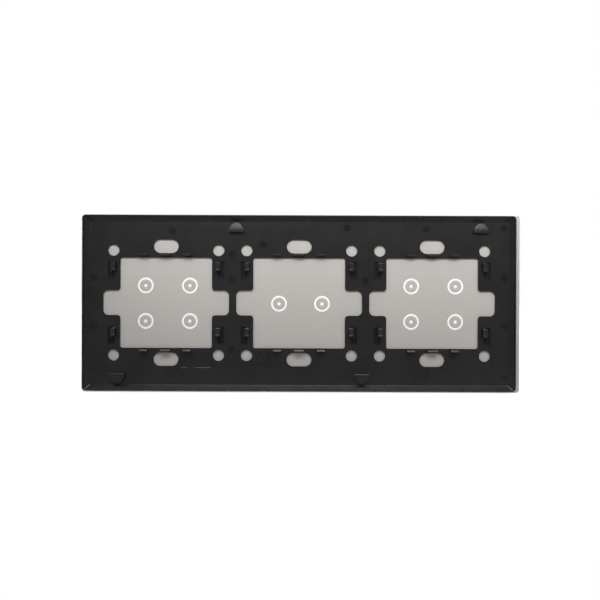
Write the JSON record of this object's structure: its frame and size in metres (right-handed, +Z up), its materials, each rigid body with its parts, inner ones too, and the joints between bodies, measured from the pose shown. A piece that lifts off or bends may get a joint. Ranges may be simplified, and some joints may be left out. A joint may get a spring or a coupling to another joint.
{
  "type": "wall plate cover",
  "caption": "Wide glass touch-switch wall plate seen with its moulded rear carrier: module openings with side ears, screw slots, snap hooks and printed ring-and-dot touch marks.",
  "frame": {"origin": "centre of the panel's bounding box", "axes": "+X along the panel's width, to the right as seen from the wall side; +Y out of the wall, towards the glass front; +Z up"},
  "size_m": [0.2348, 0.008, 0.095],
  "materials": {
    "clear_glass": "polished clear glass with ground edges",
    "grey_coat": "warm grey screen-printed coat, fine satin grain",
    "white_print": "white translucent screen print",
    "black_moulding": "black moulded plastic, fine satin texture",
    "black_foam": "matt black foam tape"
  },
  "bodies": {
    "root": {"glass_panel": "clear_glass", "back_coat": "grey_coat", "rear_carrier": "black_moulding", "tape_strip_top": "black_foam", "tape_strip_bottom": "black_foam", "tape_pad_1_upper": "black_foam", "tape_pad_1_lower": "black_foam", "tape_pad_2_upper": "black_foam", "tape_pad_2_lower": "black_foam", "tape_pad_3_upper": "black_foam", "tape_pad_3_lower": "black_foam", "tape_pad_4_upper": "black_foam", "tape_pad_4_lower": "black_foam", "touch_ring_1_1": "white_print", "touch_ring_1_2": "white_print", "touch_ring_1_3": "white_print", "touch_ring_1_4": "white_print", "touch_ring_2_1": "white_print", "touch_ring_2_2": "white_print", "touch_ring_3_1": "white_print", "touch_ring_3_2": "white_print", "touch_ring_3_3": "white_print", "touch_ring_3_4": "white_print", "touch_dot_1_1": "white_print", "touch_dot_1_2": "white_print", "touch_dot_1_3": "white_print", "touch_dot_1_4": "white_print", "touch_dot_2_1": "white_print", "touch_dot_2_2": "white_print", "touch_dot_3_1": "white_print", "touch_dot_3_2": "white_print", "touch_dot_3_3": "white_print", "touch_dot_3_4": "white_print", "coat_island_1_1": "grey_coat", "coat_island_1_2": "grey_coat", "coat_island_1_3": "grey_coat", "coat_island_1_4": "grey_coat", "coat_island_2_1": "grey_coat", "coat_island_2_2": "grey_coat", "coat_island_3_1": "grey_coat", "coat_island_3_2": "grey_coat", "coat_island_3_3": "grey_coat", "coat_island_3_4": "grey_coat"}
  },
  "joints": []
}
